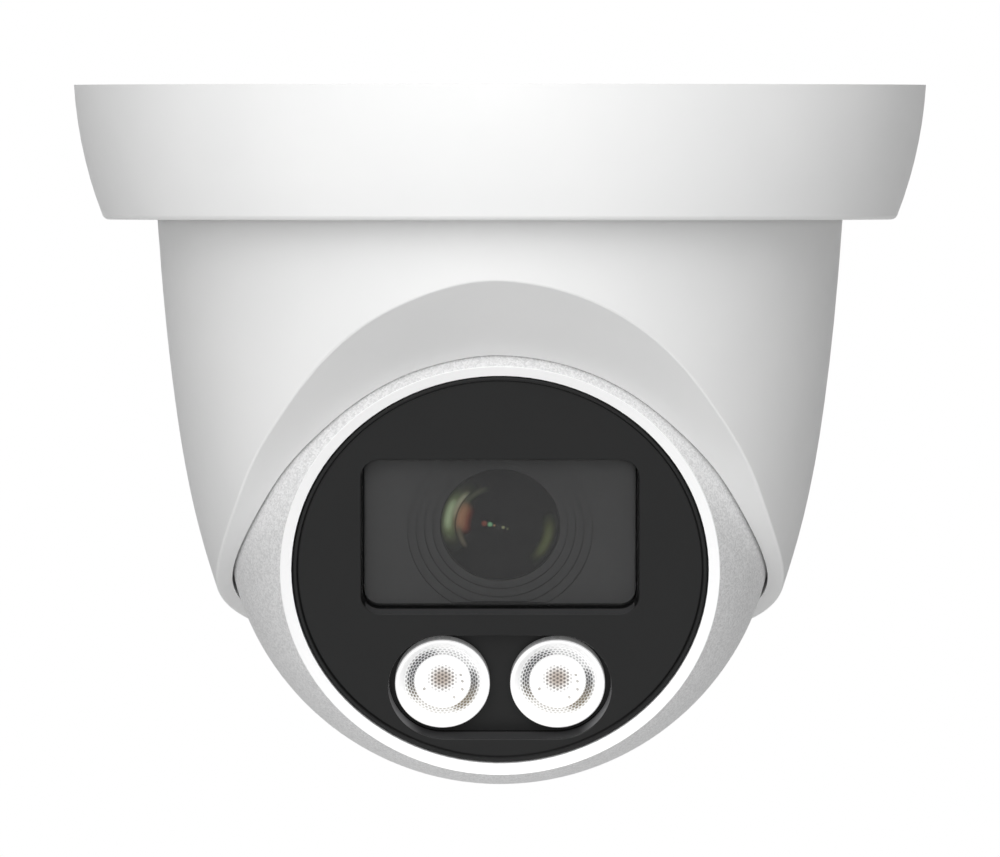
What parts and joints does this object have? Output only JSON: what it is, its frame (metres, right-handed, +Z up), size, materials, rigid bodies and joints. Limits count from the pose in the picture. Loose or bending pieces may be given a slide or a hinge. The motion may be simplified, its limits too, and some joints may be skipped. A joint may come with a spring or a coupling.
{
  "type": "ceiling turret cctv camera",
  "caption": "White ceiling turret camera: a silver ball with a black face, lens window and white lamps swivels in a conical opening in a turret that pans in its flange.",
  "frame": {"origin": "centre of the ceiling screw circle, on the plane of the ceiling", "axes": "+Z up into the ceiling along the pan axis, -Y the way the lens looks as stored, +X to the right when facing the lens"},
  "size_m": [0.122, 0.122, 0.1001],
  "materials": {
    "white_plastic": "fine satin moulding",
    "silver_paint": "fine speckled silver-white paint",
    "cast_alloy": "die-cast, satin",
    "steel": "plain bright steel",
    "brass": "nickel-plated standoffs",
    "rubber": "matt moulded rubber",
    "nylon": "natural nylon",
    "black_face": "smooth satin black",
    "black_inner": "fine matt black",
    "black_alloy": "black anodised",
    "smoked_window": "smoked polycarbonate",
    "optical_glass": "coated glass",
    "filter_glass": "thin coated filter",
    "circuit_board": "solder mask",
    "chip_black": "moulded package",
    "connector_white": "moulded socket",
    "thermal_grey": "soft filled pad",
    "lamp_white": "white optic with fine facets",
    "lamp_yellow": "phosphor dome"
  },
  "bodies": {
    "base": {"mounting_plate": "cast_alloy", "ceiling_gasket": "rubber", "cable_grommet": "rubber", "flange_cover": "white_plastic", "flange_screws": "steel", "pan_bearing_ring": "nylon", "pan_lock_screw": "steel"},
    "turret": {"turret_housing": "white_plastic", "friction_pads": "nylon", "retaining_ring": "steel", "retaining_screws": "steel", "pressure_ring": "nylon", "wave_spring": "steel"},
    "collar": {"swivel_collar": "silver_paint", "collar_washer": "nylon"},
    "ball": {"ball_front_shell": "silver_paint", "ball_rear_shell": "silver_paint", "shell_seal": "rubber", "shell_screws": "steel", "collar_clip": "steel", "cable_gland": "rubber", "gland_nut": "steel", "face_plate": "black_face", "face_gasket": "rubber", "face_screws": "steel", "lens_window": "smoked_window", "lens_baffle": "black_inner", "window_seal": "rubber", "lens_barrel": "black_alloy", "lens_front_element": "optical_glass", "lens_rear_element": "optical_glass", "lens_lock_ring": "black_alloy", "lens_holder": "black_inner", "ir_cut_filter": "filter_glass", "image_sensor": "chip_black", "sensor_board": "circuit_board", "main_board": "circuit_board", "board_standoffs": "brass", "board_screws": "steel", "main_board_chips": "chip_black", "board_connectors": "connector_white", "thermal_pad": "thermal_grey", "heat_spreader": "cast_alloy", "lamp_lens_left": "lamp_white", "lamp_lens_right": "lamp_white", "lamp_chips": "lamp_yellow", "lamp_board": "circuit_board", "lamp_board_screw": "steel"}
  },
  "joints": [
    {"name": "pan", "type": "hinge", "parent": "base", "child": "turret", "pos_m": [0, 0, 0], "axis": [0, 0, 1], "range_deg": [-180, 180]},
    {"name": "tilt", "type": "hinge", "parent": "turret", "child": "collar", "pos_m": [0, 0, -0.06084], "axis": [1, 0, 0], "range_deg": [-6, 69]},
    {"name": "roll", "type": "hinge", "parent": "collar", "child": "ball", "pos_m": [0, 0, -0.06084], "axis": [0, -0.9336, -0.3584], "range_deg": [-180, 180]}
  ]
}
